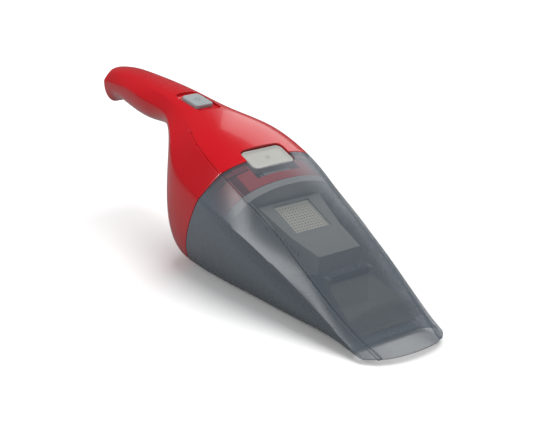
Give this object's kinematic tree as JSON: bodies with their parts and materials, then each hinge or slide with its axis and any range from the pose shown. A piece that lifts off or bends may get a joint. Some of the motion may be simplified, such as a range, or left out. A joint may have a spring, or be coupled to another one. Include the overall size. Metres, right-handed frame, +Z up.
{
  "type": "handheld vacuum",
  "caption": "Cordless handheld vacuum with a grip handle, slide switch, release button and a clear tapered dust bowl that pulls off over a pleated filter.",
  "frame": {"origin": "under the middle of the overall box, on the plane the belly rests on", "axes": "+X towards the nozzle, +Y to the object's left, +Z up"},
  "size_m": [0.397, 0.1098, 0.128],
  "materials": {
    "red_gloss": "gloss",
    "black_rubber": "matte",
    "red_rubber": "matte",
    "grey_plastic": "satin",
    "plated_steel": "satin",
    "black_plastic": "satin",
    "magnet": "matte",
    "bronze": "satin",
    "cell_wrap": "gloss",
    "nickel_strip": "satin",
    "board_green": "gloss",
    "clear_lens": "gloss",
    "wire_cover": "satin",
    "switch_grey": "satin",
    "button_grey": "satin",
    "smoked_clear": "gloss",
    "filter_paper": "matte",
    "pale_grey_plastic": "satin",
    "dark_grey_plastic": "satin"
  },
  "bodies": {
    "housing": {"top_housing": "red_gloss", "lower_housing": "red_gloss", "intake_flange": "red_gloss", "bowl_seal": "red_rubber", "fan_shroud": "grey_plastic", "motor_mount": "grey_plastic", "motor_can": "plated_steel", "motor_end_cap": "black_plastic", "motor_magnets": "magnet", "motor_bushes": "bronze", "motor_screws": "plated_steel", "battery_cells": "cell_wrap", "battery_saddles": "black_plastic", "cell_link": "nickel_strip", "control_board": "board_green", "board_parts": "black_plastic", "micro_switch": "black_plastic", "charge_socket": "black_plastic", "socket_pin": "nickel_strip", "charge_light": "clear_lens", "housing_screws": "plated_steel", "motor_leads": "wire_cover"},
    "switch": {"power_switch": "switch_grey", "switch_carriage": "grey_plastic"},
    "button": {"release_button": "button_grey", "latch_plate": "switch_grey", "release_spring": "plated_steel"},
    "rotor": {"motor_shaft": "plated_steel", "armature": "plated_steel", "impeller": "grey_plastic"},
    "bowl": {"dust_bowl": "smoked_clear", "inlet_duct": "smoked_clear", "flap_pin": "plated_steel"},
    "flap": {"inlet_flap": "black_rubber"},
    "filter": {"filter_frame": "pale_grey_plastic", "filter_pleats": "filter_paper", "filter_seal": "black_rubber"},
    "prefilter": {"prefilter_cup": "dark_grey_plastic", "prefilter_screen": "dark_grey_plastic"}
  },
  "joints": [
    {"name": "switch_slide", "type": "slide", "parent": "housing", "child": "switch", "axis": [0.9911, 0, -0.133], "range_m": [0, 0.006]},
    {"name": "release_press", "type": "slide", "parent": "housing", "child": "button", "axis": [-0.3337, 0, -0.9427], "range_m": [0, 0.0025], "stiffness_N_per_m": 1200, "springref_m": -0.002, "deforming": ["release_spring"]},
    {"name": "impeller_spin", "type": "hinge", "parent": "housing", "child": "rotor", "pos_m": [-0.00275, 0, 0.05035], "axis": [0.8697, 0, -0.4936], "continuous": true},
    {"name": "bowl_pull", "type": "slide", "parent": "housing", "child": "bowl", "axis": [1, 0, 0], "range_m": [0, 0.25]},
    {"name": "prefilter_pull", "type": "slide", "parent": "housing", "child": "prefilter", "axis": [1, 0, 0], "range_m": [0, 0.13]},
    {"name": "filter_pull", "type": "slide", "parent": "housing", "child": "filter", "axis": [1, 0, 0], "range_m": [0, 0.06]},
    {"name": "flap_swing", "type": "hinge", "parent": "bowl", "child": "flap", "pos_m": [0.122, 0, 0.035], "axis": [0, 1, 0], "range_deg": [0, 45]}
  ],
  "couplings": [
    {"joint": "prefilter_pull", "follows": "bowl_pull", "ratio": 0.5},
    {"joint": "filter_pull", "follows": "bowl_pull", "ratio": 0.2}
  ]
}
